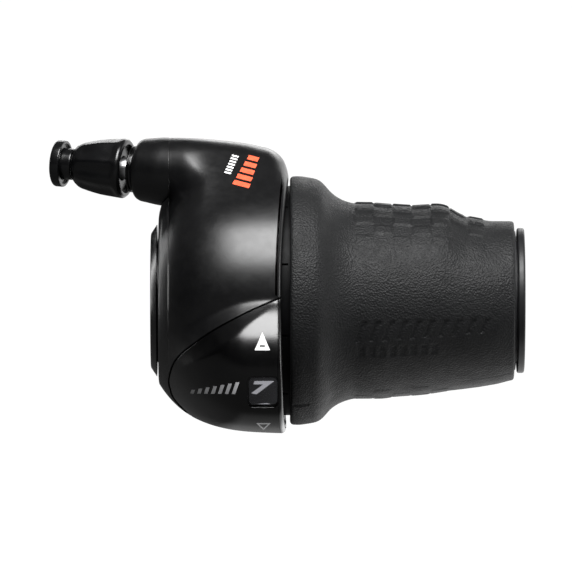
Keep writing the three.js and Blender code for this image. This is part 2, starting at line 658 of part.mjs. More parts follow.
function adjusterKnob() {
  const { start, end, large, small } = KNOB;
  const reach = [start, start + 0.7, 6.0, end - 2.3, end - 0.7, end];
  const round = [large - 0.6, large, large - 0.3, small + 0.2, small - 0.65, small - 1.25];
  const fluted = [0, 0.4, 1, 1, 0.4, 0];
  const radiusAt = (y, front, up) => {
    const station = reach.indexOf(y);
    const wave = 0.5 - 0.5 * Math.cos(KNOB.flutes * Math.atan2(front, up));
    return round[station] - KNOB.fluteDepth * fluted[station] * wave;
  };
  let knob = toSolid(wrapped(reach, (y) => y, radiusAt, 24));
  knob = knob.subtract(toSolid(cylinder(KNOB.recess, 2 * KNOB.recessDepth).translate(0, start, 0)));
  knob = knob.subtract(toSolid(cylinder(ADJUSTER_BOLT.r + GAP, 40).translate(0, 6, 0)));
  return piece('adjuster_knob', toGeometry(knob), GLOSS_BLACK);
}

function adjusterBolt() {
  const { bore, r, start, end } = ADJUSTER_BOLT;
  return piece('adjuster_bolt', turned(ringProfile(bore, r, start, end), 16), STEEL);
}

function casingStop() {
  const { start, seat, disc, end, bore, neck, socket, r, rim, recess } = CASING_STOP;
  const profile = [[bore, start], [neck, start], [neck, disc + recess], [r - rim, disc + recess],
    [r - rim, disc], [r, disc], [r, end], [socket, end], [socket, seat], [bore, seat]];
  return piece('casing_stop', turned(profile), GLOSS_BLACK);
}

// ---- assembly -------------------------------------------------------------------------------

const shifter = new THREE.Group();

const housing = new THREE.Group();
housing.add(mainHousing(), indicatorPanel(), windowLens(), cablePortCover(), inboardCap());
housing.add(...coverScrews(), ...housingScrews(), outletBoss());
housing.add(mountingBracket(), barSleeve(), clampBand(), clampBolt(), clampNut());
housing.add(endRing(), thrustWasher(), detentSpring(), detentPlunger());

const twistGrip = new THREE.Group();
twistGrip.add(cableDrum(), indexRing(), numberRing(), gripCore(), gripRubber());

const outlet = new THREE.Group();
outlet.add(adjusterInsert(), adjusterCollar(), adjusterKnob(), adjusterBolt(), casingStop());
outlet.position.copy(OUTLET_POINT);
outlet.quaternion.copy(OUTLET_TURN);

shifter.add(housing, twistGrip, outlet);

export default shifter;
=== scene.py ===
import math

import bpy
import numpy as np
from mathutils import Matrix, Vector


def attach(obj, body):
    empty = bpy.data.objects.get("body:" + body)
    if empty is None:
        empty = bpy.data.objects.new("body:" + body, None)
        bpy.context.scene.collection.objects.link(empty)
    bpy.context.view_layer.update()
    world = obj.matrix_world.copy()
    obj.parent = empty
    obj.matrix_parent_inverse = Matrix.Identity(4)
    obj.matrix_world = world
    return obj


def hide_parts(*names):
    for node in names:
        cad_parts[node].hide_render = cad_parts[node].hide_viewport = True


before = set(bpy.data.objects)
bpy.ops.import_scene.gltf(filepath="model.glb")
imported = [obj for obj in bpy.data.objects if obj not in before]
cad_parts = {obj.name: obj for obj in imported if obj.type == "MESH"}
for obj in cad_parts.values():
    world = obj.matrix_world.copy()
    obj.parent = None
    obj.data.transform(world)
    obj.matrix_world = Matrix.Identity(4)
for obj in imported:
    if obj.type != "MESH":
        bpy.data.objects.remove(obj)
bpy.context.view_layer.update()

scene = bpy.context.scene
scene.view_settings.view_transform = "Standard"
scene.view_settings.look = "None"

# Everything below is in millimetres until it becomes a mesh, along the same axes as the CAD part:
# +X outboard along the handlebar, -Y towards the rider, +Z up.
MM = 0.001

# ---- camera -----------------------------------------

VIEW_CENTRE = (27.55, 2.96)
VIEW_WIDTH = 116.7
CAMERA_DISTANCE = 2000.0
SENSOR_WIDTH = 36.0

camera_data = bpy.data.cameras.new("camera")
camera_data.sensor_width = SENSOR_WIDTH
camera_data.lens = SENSOR_WIDTH * CAMERA_DISTANCE / VIEW_WIDTH
camera_data.clip_start = 0.05
camera_data.clip_end = 50.0
camera = bpy.data.objects.new("camera", camera_data)
camera.location = (VIEW_CENTRE[0] * MM, -CAMERA_DISTANCE * MM, VIEW_CENTRE[1] * MM)
camera.rotation_euler = (math.pi / 2, 0.0, 0.0)
scene.collection.objects.link(camera)
scene.camera = camera


# ---- meshes -----------------------------------------


def make_object(name, points, faces, material=None, sharp=32.0):
    """A mesh object from points in millimetres."""
    mesh = bpy.data.meshes.new(name)
    mesh.from_pydata((np.asarray(points, float) * MM).tolist(), [], faces)
    mesh.update()
    return dress(name, mesh, material, sharp)


def dress(name, mesh, material, sharp=32.0):
    """An object for a mesh, smooth apart from edges sharper than some angle, with its material."""
    mesh.name = name
    mesh.shade_smooth()
    mesh.set_sharp_from_angle(angle=math.radians(sharp))
    made = bpy.data.objects.new(name, mesh)
    scene.collection.objects.link(made)
    mesh.materials.clear()
    if material is not None:
        mesh.materials.append(material)
    return made


def signed_volume(points, quads):
    """Six times the volume inside a skin of quads, below zero where they face inwards."""
    a, b, c, d = (points[quads[:, k]] for k in range(4))
    first = np.einsum("ij,ij->i", a, np.cross(b, c)).sum()
    second = np.einsum("ij,ij->i", a, np.cross(c, d)).sum()
    return first + second


def loft(rings, closed=True):
    """Points and faces of a solid whose skin runs through rings of equally many points.
    A closed one joins its last ring to its first, and an open one has a flat face at each end."""
    rings = np.asarray(rings, float)
    count, sides, _ = rings.shape
    points = rings.reshape(-1, 3)
    i = np.arange(count if closed else count - 1)[:, None]
    j = np.arange(sides)[None, :]
    after = (i + 1) % count
    turn = (j + 1) % sides
    corners = (i * sides + j, i * sides + turn, after * sides + turn, after * sides + j)
    quads = np.stack(corners, -1).reshape(-1, 4)
    ends = []
    if not closed:
        ends = [list(range(sides))[::-1], [(count - 1) * sides + k for k in range(sides)]]
    if signed_volume(points - points.mean(0), quads) < 0:
        quads = quads[:, ::-1]
        ends = [end[::-1] for end in ends]
    return points, quads.tolist() + ends


def ring_at(x, radius, angle):
    """Points about the X axis, at angles that go up from the front."""
    x = np.broadcast_to(x, angle.shape)
    return np.stack([x, -radius * np.cos(angle), radius * np.sin(angle)], -1)


def turned(profile, sides=160):
    """Rings about the X axis from [x, radius] pairs."""
    angle = np.linspace(0, 2 * np.pi, sides, endpoint=False)
    return [ring_at(x, radius, angle) for x, radius in profile]


def rounded(profile, radius, steps=4):
    """A closed [x, radius] profile with its corners rounded; radius is one number or one for each corner."""
    corners = [np.asarray(p, float) for p in profile]
    radii = [radius] * len(corners) if np.isscalar(radius) else radius
    out = []
    for k, here in enumerate(corners):
        before = corners[k - 1] - here
        after = corners[(k + 1) % len(corners)] - here
        room = 0.45 * min(np.linalg.norm(before), np.linalg.norm(after))
        reach = min(radii[k], room)
        if reach < 1e-3:
            out.append(here)
            continue
        start = here + before / np.linalg.norm(before) * reach
        end = here + after / np.linalg.norm(after) * reach
        for t in np.linspace(0, 1, steps + 1):
            out.append((1 - t) ** 2 * start + 2 * t * (1 - t) * here + t * t * end)
    return out


def prism(outline, near_y, far_y):
    """A solid with an outline in X and Z, between two values of Y."""
    outline = np.asarray(outline, float)
    near = np.stack([outline[:, 0], np.full(len(outline), near_y), outline[:, 1]], -1)
    far = near.copy()
    far[:, 1] = far_y
    return loft([near, far], closed=False)


def joined(solids):
    """Several separate solids as one set of points and faces."""
    points, faces, start = [], [], 0
    for some, their in solids:
        points.append(np.asarray(some))
        faces.extend([[v + start for v in face] for face in their])
        start += len(some)
    return np.concatenate(points), faces


def combine(solid, steps):
    """Cuts or intersects a solid, given as points and faces, with others in turn, and returns the mesh."""
    base = make_object("solid", *solid)
    for operation, other in steps:
        tool = make_object("tool", *other)
        modifier = base.modifiers.new("cut", "BOOLEAN")
        modifier.solver = "MANIFOLD"
        modifier.operation = operation
        modifier.object = tool
        shown = base.evaluated_get(bpy.context.evaluated_depsgraph_get())
        result = bpy.data.meshes.new_from_object(shown)
        base.modifiers.remove(modifier)
        base.data = result
        bpy.data.objects.remove(tool)
    mesh = base.data
    bpy.data.objects.remove(base)
    return mesh


def read_solid(mesh):
    """The points, in millimetres, and faces of a mesh."""
    points = np.zeros(len(mesh.vertices) * 3)
    mesh.vertices.foreach_get("co", points)
    return points.reshape(-1, 3) / MM, [list(face.vertices) for face in mesh.polygons]


def add_piece(made, body, slot, *nodes):
    """Rides a piece on its body, and hides the CAD nodes that it stands in for. Its slot is not used."""
    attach(made, body)
    if nodes:
        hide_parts(*nodes)


# ---- materials --------------------------------------


def node(tree, kind, **inputs):
    """A new shader node, with its inputs set by name."""
    made = tree.nodes.new(kind)
    for name, value in inputs.items():
        made.inputs[name.replace("_", " ")].default_value = value
    return made


TEXTURE_RANGE = (0.3, 0.7)


def ramp(tree, source, low, high):
    """A colour ramp between two colours over the usual range of a texture."""
    made = tree.nodes.new("ShaderNodeValToRGB")
    made.color_ramp.elements[0].position = TEXTURE_RANGE[0]
    made.color_ramp.elements[1].position = TEXTURE_RANGE[1]
    made.color_ramp.elements[0].color = (*low, 1)
    made.color_ramp.elements[1].color = (*high, 1)
    tree.links.new(source, made.inputs["Fac"])
    return made.outputs["Color"]


def ranged(tree, source, low, high, start=TEXTURE_RANGE[0], end=TEXTURE_RANGE[1]):
    """A value that runs from low to high while its source runs from start to end."""
    made = node(tree, "ShaderNodeMapRange", From_Min=start, From_Max=end, To_Min=low, To_Max=high)
    tree.links.new(source, made.inputs["Value"])
    return made.outputs["Result"]


def noise(tree, place, scale, detail=3.0, roughness=0.5):
    made = node(tree, "ShaderNodeTexNoise", Scale=scale, Detail=detail, Roughness=roughness)
    tree.links.new(place, made.inputs["Vector"])
    return made.outputs["Fac"]


def maths(tree, operation, first, second):
    made = node(tree, "ShaderNodeMath")
    made.operation = operation
    tree.links.new(first, made.inputs[0])
    tree.links.new(second, made.inputs[1])
    return made.outputs["Value"]


def bumped(tree, height, strength, distance, under):
    """A normal with bumps from a texture's height, on top of the normal under them."""
    made = node(tree, "ShaderNodeBump", Strength=strength, Distance=distance)
    tree.links.new(height, made.inputs["Height"])
    if under is not None:
        tree.links.new(under, made.inputs["Normal"])
    return made.outputs["Normal"]


def surface(name, dark, light, rough, grains, metallic=0.0, specular=0.5, patch=140.0, edge=0.0):
    """A moulded, turned or plated surface. dark and light are the two colours that it varies between,
    rough is its range of roughness, grains are (texture, scale, strength, depth in mm) for its bumps,
    patch is the scale of its slow changes, and edge is how far its edges look rounded."""
    made = bpy.data.materials.new(name)
    made.use_nodes = True
    tree = made.node_tree
    shader = tree.nodes["Principled BSDF"]
    shader.inputs["Metallic"].default_value = metallic
    shader.inputs["Specular IOR Level"].default_value = specular
    place = tree.nodes.new("ShaderNodeTexCoord").outputs["Object"]
    clouds = noise(tree, place, patch, 4.0, 0.6)
    tree.links.new(ramp(tree, clouds, dark, light), shader.inputs["Base Color"])
    smears = noise(tree, place, patch * 3.7, 5.0, 0.65)
    tree.links.new(ranged(tree, smears, *rough), shader.inputs["Roughness"])
    normal = None
    if edge:
        normal = node(tree, "ShaderNodeBevel", Radius=edge * MM).outputs["Normal"]
    for kind, scale, strength, depth in grains:
        if kind == "noise":
            height = noise(tree, place, scale, 4.0, 0.55)
        else:
            cells = node(tree, "ShaderNodeTexVoronoi", Scale=scale, Randomness=1.0)
            cells.feature = kind
            tree.links.new(place, cells.inputs["Vector"])
            height = cells.outputs["Distance"]
        normal = bumped(tree, height, strength, depth * MM, normal)
    tree.links.new(normal, shader.inputs["Normal"])
    return made


def glowing(made, colour, strength):
    """The same surface with a painted glow: light of its own, though it is no lamp."""
    shader = made.node_tree.nodes["Principled BSDF"]
    shader.inputs["Emission Color"].default_value = (*colour, 1)
    shader.inputs["Emission Strength"].default_value = strength
    return made


def brushed(made):
    """The same metal surface with fine turning marks, as rings about the X axis."""
    tree = made.node_tree
    shader = tree.nodes["Principled BSDF"]
    place = tree.nodes.new("ShaderNodeTexCoord").outputs["Object"]
    turn = node(tree, "ShaderNodeMapping")
    turn.inputs["Scale"].default_value = (1.0, 0.03, 0.03)
    tree.links.new(place, turn.inputs["Vector"])
    lines = noise(tree, turn.outputs["Vector"], 2600.0, 2.0, 0.5)
    under = shader.inputs["Normal"].links[0].from_socket
    tree.links.new(bumped(tree, lines, 0.18, 0.02 * MM, under), shader.inputs["Normal"])
    return made


SATIN = surface("satin_black_plastic", (0.0019, 0.0019, 0.0021), (0.0028, 0.0028, 0.0031), (0.28, 0.35),
                [("noise", 2400.0, 0.10, 0.03), ("noise", 9000.0, 0.08, 0.02)], specular=0.45, edge=0.22)
GLOSS = surface("gloss_black_plastic", (0.0008, 0.0008, 0.0009), (0.0013, 0.0013, 0.0014), (0.19, 0.23),
                [("noise", 320.0, 0.04, 0.02)], specular=0.5, edge=0.2)
KNOB_BLACK = surface("knob_black_plastic", (0.0018, 0.0018, 0.0020), (0.0027, 0.0028, 0.0031), (0.20, 0.28),
                     [("noise", 1500.0, 0.08, 0.03)], specular=0.5, edge=0.15)
RUBBER = surface("grip_rubber_grey", (0.0062, 0.0064, 0.0067), (0.0098, 0.0101, 0.0106), (0.46, 0.60),
                 [("F1", 2500.0, 0.85, 0.13), ("SMOOTH_F1", 4300.0, 0.55, 0.07),
                  ("noise", 6200.0, 0.35, 0.03)],
                 specular=0.2, patch=90.0)
NYLON = surface("black_nylon", (0.0120, 0.0125, 0.0140), (0.0190, 0.0195, 0.0210), (0.50, 0.62),
                [("noise", 1900.0, 0.22, 0.04), ("F1", 3800.0, 0.10, 0.02)], specular=0.4, edge=0.12)
GLOWING_NUMBER_PLASTIC = surface("number_ring_plastic_painted_glow", (0.075, 0.078, 0.085), (0.095, 0.098, 0.105), (0.42, 0.52),
                         [("noise", 2100.0, 0.15, 0.03)], specular=0.4)
# Painted glow: the number ring gives off a little light of its own, so it shows dark grey behind the smoked
# window.
glowing(GLOWING_NUMBER_PLASTIC, (1, 1, 1), 0.035)
STEEL = brushed(surface("zinc_plated_steel", (0.50, 0.50, 0.51), (0.62, 0.62, 0.62), (0.24, 0.36),
                        [("noise", 1700.0, 0.12, 0.03)], metallic=1.0, edge=0.1))
BRASS = brushed(surface("brass", (0.52, 0.36, 0.13), (0.66, 0.48, 0.20), (0.22, 0.34),
                        [("noise", 1700.0, 0.12, 0.03)], metallic=1.0, edge=0.1))

# ---- housing skin -----------------------------------

SKIN_START = 1.6
BORE = 12.9
WALL = 2.0
PANEL_THICKNESS = 1.0
SLIT = 0.3
DOME_RADIUS = 26.5
DOME_DROP = 12.7
DOME_RUN = 6.0
HUMP_START = 3.7
HUMP_FACE = 3.72
OUTLET_RADIUS = 7.0
OUTLET_REACH = 16
OUTLET = Vector((-3.8, 3.5, 26.85))
OUTLET_WAY = Vector((-0.948, 0.308, 0.078)).normalized()
TURN = OUTLET_WAY.to_track_quat("X", "Z").to_matrix()
FAR = 42  # further out than any part of the object


def smoothstep(x, start, end):
    """Rises smoothly from 0 to 1 between two places."""
    t = np.clip((np.asarray(x, float) - start) / (end - start), 0, 1)
    return t * t * (3 - 2 * t)


def soft_max(a, b, blend):
    """The larger of two numbers, rounded over where they differ by less than blend."""
    overlap = np.clip(blend - np.abs(a - b), 0, None) / blend
    return np.maximum(a, b) + overlap * overlap * blend / 4


def dome_radius(x):
    return DOME_RADIUS - DOME_DROP * np.exp(-np.asarray(x, float) / DOME_RUN)


def spline(knots, count=16):
    """Points on a smooth curve through knots."""
    knots = np.asarray(knots, float)
    ends = np.concatenate([[2 * knots[0] - knots[1]], knots, [2 * knots[-1] - knots[-2]]])
    t = np.linspace(0, 1, count, endpoint=False)[:, None]
    out = []
    for a, b, c, d in zip(ends, ends[1:], ends[2:], ends[3:]):
        out.append(0.5 * (2 * b + (c - a) * t + (2 * a - 5 * b + 4 * c - d) * t**2
                          + (3 * b - a - 3 * c + d) * t**3))
    return np.concatenate(out + [knots[-1:]])


def hump_shape(x):
    """The hump's section at x: its centre across and up, half width and half height."""
    x = np.asarray(x, float)
    leaning = 0.27 * np.clip(x - HUMP_START, 0, None) * (1 - smoothstep(x, 5.0, 15.0))
    across = -1.06 + leaning - 1.94 * smoothstep(x, 6.5, 19.0)
    middle = 26.2 - 4.6 * smoothstep(x, -1.5, 25.5)
    end = np.clip((x - 23.2) / 5.05, 0, 0.9995)
    rounding = 1 - np.sqrt(1 - end**2)
    top = 33.2 - 0.0045 * np.clip(x - 4, 0, None) ** 2
    top = top - 5.4 * rounding - 0.25 * smoothstep(x, 19, 23.5)
    wide = 7.38 + 4.2 * smoothstep(x, 3.0, 25.0) - 2.0 * rounding
    return across, middle, wide, top - middle


def ray_origin(x):
    """The height that the section's rays start from, inside the dome and the hump alike."""
    return np.interp(x, [0, HUMP_START, HUMP_FACE, 8.5, 20.0, 40.0], [0, 9.0, 19.4, 18.0, 16.2, 15.5])


# The panel's upper and inboard edge, as X and Z from its outboard end to its lowest point.
PANEL_EDGE = spline([[30, 2.0], [26.6, 0.5], [19.9, -2.4], [13.2, -6.0], [8.4, -9.3], [5.3, -12.2],
                     [4.0, -15.7], [4.2, -17.9], [5.3, -20.4], [9.6, -24.8]])

# The pod that carries the panel stands out of the dome between two circles: centre across, centre up, radius.
POD = (13.3, -13.0, 18.5)
POD_FLOOR = (8.0, 52.9, 80.0)


def pod_share(x, height):
    """How much of the pod's rise the skin has: none above the strip's crease, all below the panel's edge."""
    width = 2.75 + 0.022 * np.clip(19 - x, 0, None) ** 2
    share = np.clip((0.4 * x - 7.67 - height) / width, 0, 1)
    return np.where(share < 0.12, share**2 / 0.24, share - 0.06) / 0.94


def flare(x, rise):
    """The dome's extra height under the cable outlet."""
    return 2.0 * smoothstep(x, 1.2, 2.3) * (1 - smoothstep(x, 3.8, 9.0)) * smoothstep(rise, 0.35, 0.97)


HALVINGS = 26


def tangent_reach(x, angle, inset, base):
    """How far rays run to the flat flanks that touch both the dome and the hump, before and behind it.
    A flank's tilt is found by halving, and rays that pass beside both flanks get 0."""
    across, middle, wide, high = hump_shape(x)
    wide, high = wide - inset, high - inset
    radius = dome_radius(x) - inset
    out = np.zeros(np.shape(angle))
    for side in (1, -1):
        low, up = np.zeros(np.shape(angle)), np.full(np.shape(angle), np.pi / 2)
        for _ in range(HALVINGS):
            tilt = (low + up) / 2
            extent = np.hypot(wide * np.cos(tilt), high * np.sin(tilt))
            beyond = side * across * np.cos(tilt) + middle * np.sin(tilt) + extent > radius
            low, up = np.where(beyond, low, tilt), np.where(beyond, tilt, up)
        cos, sin = side * np.cos(tilt), np.sin(tilt)
        start = np.arctan2(radius * sin - base, side * radius * cos)
        end = np.arctan2(middle + high**2 * sin / extent - base, side * (across + wide**2 * cos / extent))
        turned_to = np.arctan2(np.sin(angle), side * np.cos(angle))
        reach = (radius - base * sin) / np.maximum(cos * np.cos(angle) + sin * np.sin(angle), 1e-3)
        within = (turned_to > start) & (turned_to < end) & (tilt < 1.55)
        out = np.where(within, reach, out)
    return out


def skin_point(x, angle, inset=0.0, hump=True):
    """Where rays at these angles above the front meet the housing's skin, as distance in front and height."""
    base = ray_origin(float(np.median(x)))
    front, up = np.cos(angle), np.sin(angle)
    radius = dome_radius(x) - inset
    grown = smoothstep(x, 0.0, 20.0)

    def circle(across, height, size):
        along = across * front + (height - base) * up
        off = across**2 + (height - base) ** 2 - along**2
        return along + np.sqrt(np.clip(size**2 - off, 0, None))

    face, floor = (circle(grown * across, grown * height, radius + grown * (size - DOME_RADIUS))
                   for across, height, size in (POD, POD_FLOOR))
    reach = circle(0.0, 0.0, radius)
    swell = soft_max(reach, -soft_max(-face, -floor, 3.0), 1.2) - reach
    reach = reach + pod_share(x, base + reach * up) * swell + flare(x, up)
    if hump:
        # The hump's section is an ellipse, and a ray leaves it at the larger root of a quadratic.
        across, middle, wide, high = hump_shape(x)
        wide, high = wide - inset, high - inset
        p = np.stack([-across / wide, (base - middle) / high])
        q = np.stack([front / wide, up / high])
        pp, pq, qq = (p * p).sum(0), (p * q).sum(0), (q * q).sum(0)
        hump_reach = (-pq + np.sqrt(np.clip(pq**2 - qq * (pp - 1), 0, None))) / qq
        hump_reach = np.where((pp > 1) & (pq > 0), 0.0, hump_reach)
        flat = smoothstep(x, HUMP_START, 12.0)
        reach = soft_max(reach, hump_reach, 7.0 - 6.0 * flat)
        reach = reach + flat * (tangent_reach(x, angle, inset, base) - reach).clip(0)
    return reach * front, base + reach * up


def evened(points, sides):
    """The same closed outline with its points evenly spaced along it."""
    loop = np.concatenate([points, points[:1]])
    steps = np.linalg.norm(np.diff(loop[:, 1:], axis=0), axis=1)
    travel = np.concatenate([[0], np.cumsum(steps)])
    wanted = np.linspace(0, travel[-1], sides, endpoint=False)
    return np.stack([np.interp(wanted, travel, loop[:, k]) for k in range(3)], -1)


def rim_reach(across, height):
    """How much further outboard the rim lies above and below than in front."""
    rise = height / np.hypot(across, height)
    return rise**2 * np.where(height > 0, 1.45, 1.0)


RIM_X = 26.6
RIM_ROUNDING = 1.3
RING_SIDES = 360
RAYS = 1440


def skin_ring(x, inset=0.0, hump=True, at_rim=False):
    """One ring of the housing's skin. Towards the outboard rim the rings lean out above and below."""
    angle = np.linspace(-np.pi / 2, 1.5 * np.pi, RAYS, endpoint=False)
    lean = 1.0 if at_rim else smoothstep(x, 19.0, RIM_X)
    place = np.full(RAYS, float(x))
    for _ in range(2):
        across, height = skin_point(place, angle, inset, hump)
        place = x + lean * rim_reach(across, height)
    return evened(np.stack([place, -across, height], -1), RING_SIDES)


def circle_ring(x, radius):
    """A round ring with its points in step with the skin's."""
    return ring_at(x, radius, np.linspace(-np.pi / 2, 1.5 * np.pi, RING_SIDES, endpoint=False))


def skin_stations(start, end=25.8):
    """Places along X for the skin's rings, closer together where the hump starts."""
    near = np.linspace(start, 3.6, 9)
    seam = [HUMP_START, HUMP_FACE]
    rest = np.arange(4.0, end + 0.01, 0.34)
    return [x for x in [*near, *seam, *rest] if start <= x <= end]


def rim_rings(inset, radius):
    """Rings that round the skin over at its outboard rim."""
    rings = []
    for t in np.linspace(0, np.pi / 2, 6):
        x = RIM_X - radius + radius * math.sin(t)
        rings.append(skin_ring(x, inset + radius * (1 - math.cos(t)), at_rim=True))
    return rings


def housing_solid():
    """The housing's shell without its openings: its outer skin, its rim and its inner skin."""
    rings = [circle_ring(SKIN_START, BORE + 0.15)]
    rings.append(skin_ring(SKIN_START, 0.55, hump=False))
    rings.append(skin_ring(SKIN_START + 0.05, 0.22, hump=False))
    for x in skin_stations(1.75):
        rings.append(skin_ring(x, hump=x > HUMP_START))
    rings += rim_rings(0.0, RIM_ROUNDING)
    rings.append(skin_ring(RIM_X, WALL - 0.2, hump=False, at_rim=True))
    rings.append(skin_ring(RIM_X - 0.2, WALL, hump=False, at_rim=True))
    for x in [24.0, 20.0, 16.0, 12.0, 9.0, 7.0, 5.5, 4.4, 3.6]:
        rings.append(skin_ring(x, WALL, hump=False))
    rings.append(circle_ring(3.6, BORE))
    rings.append(circle_ring(SKIN_START + 0.15, BORE))
    return loft(rings)


def under_skin(inset):
    """Everything inside the dome at some depth, for keeping cuts shallow."""
    rings = [skin_ring(x, inset, hump=False) for x in [0.0, 1.0, 2.0, *skin_stations(2.4, 26.4)]]
    rings.append(skin_ring(34.0, inset, hump=False))
    return loft(rings, closed=False)


SHELL_START = 0.6


def shell(outer, inner, hump=False):
    """A layer of the dome between two depths, with its outboard rim rounded."""
    rings = [skin_ring(x, outer, hump=hump) for x in [SHELL_START, *skin_stations(2.4)]]
    rings += rim_rings(outer, min(RIM_ROUNDING, 0.92 * (inner - outer)))
    rings.append(skin_ring(RIM_X, inner, hump=False, at_rim=True))
    rings += [skin_ring(x, inner, hump=False) for x in [*skin_stations(2.4, 25.0)[::-3], SHELL_START]]
    return loft(rings)


def moved_out(points, distance):
    """An open outline moved to the right of its own direction."""
    ahead = np.gradient(points, axis=0)
    ahead /= np.linalg.norm(ahead, axis=1)[:, None]
    return points + distance * np.stack([ahead[:, 1], -ahead[:, 0]], -1)


def panel_outline(grow):
    edge = moved_out(PANEL_EDGE, grow)
    return np.concatenate([edge, [[10.6 - grow, -FAR], [31.0, -FAR]]])


def rounded_square(x, z, width, height, corner, steps=8):
    """An outline with round corners about a centre."""
    out = []
    for k, (sx, sz) in enumerate([(1, 1), (-1, 1), (-1, -1), (1, -1)]):
        for t in np.linspace(0, math.pi / 2, steps + 1) + k * math.pi / 2:
            out.append((x + sx * (width / 2 - corner) + corner * math.cos(t),
                        z + sz * (height / 2 - corner) + corner * math.sin(t)))
    return np.array(out)


WINDOW_X = 22.95
WINDOW_Z = -18.35
WINDOW_SIZE = 5.9
WINDOW_CORNER = 0.9


def window_outline(grow):
    size = WINDOW_SIZE + 2 * grow
    return rounded_square(WINDOW_X, WINDOW_Z, size, size, WINDOW_CORNER + grow)


def port_outline(grow):
    return rounded_square(19.6, 0.0, 10.8 + 2 * grow, 14.0 + 2 * grow, 1.5 + grow)


def rod(axis, radius, start, end, centre, sides=40):
    """A cylinder along one of the axes, with its centre given in the other two."""
    t = np.linspace(0, 2 * np.pi, sides, endpoint=False)
    others = [k for k in range(3) if k != axis]
    rings = []
    for place in (start, end):
        ring = np.zeros((sides, 3))
        ring[:, axis] = place
        ring[:, others[0]] = centre[0] + radius * np.cos(t)
        ring[:, others[1]] = centre[1] + radius * np.sin(t)
        rings.append(ring)
    return loft(rings, closed=False)


# The housing's screws and the detent as Y and Z, the port cover's screws as X and Z, the clamp's as X and Y.
SCREW_PLACES = [(9.3, 16.108), (9.3, -16.108)]
DETENT_PLACE = (19.6, 0)
COVER_SCREW_PLACES = [(16.6, -5.2), (16.6, 5.2)]
CLAMP_PLACE = (9.2, 16.9)


def on_outlet(points):
    """Moves points from the outlet's own frame, with X along its axis, to their place."""
    return np.asarray(points) @ np.array(TURN).T + np.array(OUTLET)


def outlet_loft(profile, sides=96):
    """Points and faces of a solid turned about the outlet's axis."""
    points, faces = loft(turned(profile, sides))
    return on_outlet(points), faces


def past_hump_face():
    """The space outboard of the plane where the outlet's boss meets the hump."""
    return prism([[HUMP_FACE, 5], [60, 5], [60, 60], [HUMP_FACE, 60]], -40, 40)


def build_housing():
    panel_cut = combine(prism(panel_outline(SLIT), -FAR, -0.7),
                        [("DIFFERENCE", under_skin(PANEL_THICKNESS + SLIT))])
    port_cut = combine(prism(port_outline(SLIT), 12, FAR), [("DIFFERENCE", under_skin(1.2))])
    seat, seat_faces = rod(0, OUTLET_RADIUS + SLIT, -OUTLET_REACH, 0.5, (0, 0), 96)
    seat_cut = combine((on_outlet(seat), seat_faces), [("DIFFERENCE", past_hump_face())])
    # The shell's own hole behind the window is a little smaller and sits a little higher.
    view_hole = rounded_square(WINDOW_X, WINDOW_Z + 0.25, WINDOW_SIZE - 0.2, WINDOW_SIZE - 0.6, WINDOW_CORNER)
    steps = [("DIFFERENCE", read_solid(cut)) for cut in (panel_cut, port_cut, seat_cut)]
    steps.append(("DIFFERENCE", prism(view_hole, -FAR, -12)))
    steps.append(("DIFFERENCE", rod(2, 3.5, -FAR, -7.4, CLAMP_PLACE)))
    for place in SCREW_PLACES:
        steps.append(("DIFFERENCE", rod(0, 2.3, -2, 6.4, place)))
    made = dress("housing_shell", combine(housing_solid(), steps), SATIN)
    add_piece(made, "housing", "satin_plastic", "main_housing")


def build_panel():
    layer = shell(0.0, PANEL_THICKNESS)
    mesh = combine(layer, [("INTERSECT", prism(panel_outline(0.0), -FAR, -1.0)),
                           ("DIFFERENCE", prism(window_outline(0.12), -FAR, -8))])
    add_piece(dress("indicator_cover", mesh, GLOSS), "housing", "gloss_plastic", "indicator_panel")
    lens = combine(shell(0.06, 0.95), [("INTERSECT", prism(window_outline(0.0), -FAR, -8))])
    add_piece(dress("gear_window", lens, SMOKED), "housing", "smoked_window", "window_lens")


def build_port_cover():
    steps = [("INTERSECT", prism(port_outline(0.0), 8, FAR))]
    for place in COVER_SCREW_PLACES:
        steps.append(("DIFFERENCE", rod(1, 1.8, 18, FAR, place)))
    mesh = combine(shell(0.0, 0.9), steps)
    add_piece(dress("port_cover", mesh, SATIN), "housing", "satin_plastic", "cable_port_cover")


# ---- prints -----------------------------------------


def slanted_bar(x, z, along, across, angle, lean):
    """A parallelogram centred on a point: along its own line, across it, and leaning."""
    ca, sa = math.cos(angle), math.sin(angle)
    out = []
    for u, v in ((-1, -1), (1, -1), (1, 1), (-1, 1)):
        a = u * along / 2 + lean * v * across / 2
        b = v * across / 2
        out.append((x + a * ca - b * sa, z + a * sa + b * ca))
    return np.array(out)


def prints(name, outlines, material, layer, slot):
    """Thin marks with these outlines on the front of a layer."""
    mesh = combine(layer, [("INTERSECT", joined([prism(outline, -FAR, -1.0) for outline in outlines]))])
    add_piece(dress(name, mesh, material), "housing", slot)


PRINT_HEIGHT = 0.035


def pierced_mark(name, outline, hole, material, layer):
    """A mark on the panel with a hole through it."""
    mark = combine(prism(outline, -FAR, -1), [("DIFFERENCE", prism(hole, -FAR - 1, 0))])
    mesh = combine(layer, [("INTERSECT", read_solid(mark))])
    add_piece(dress(name, mesh, material), "housing", "gloss_plastic")


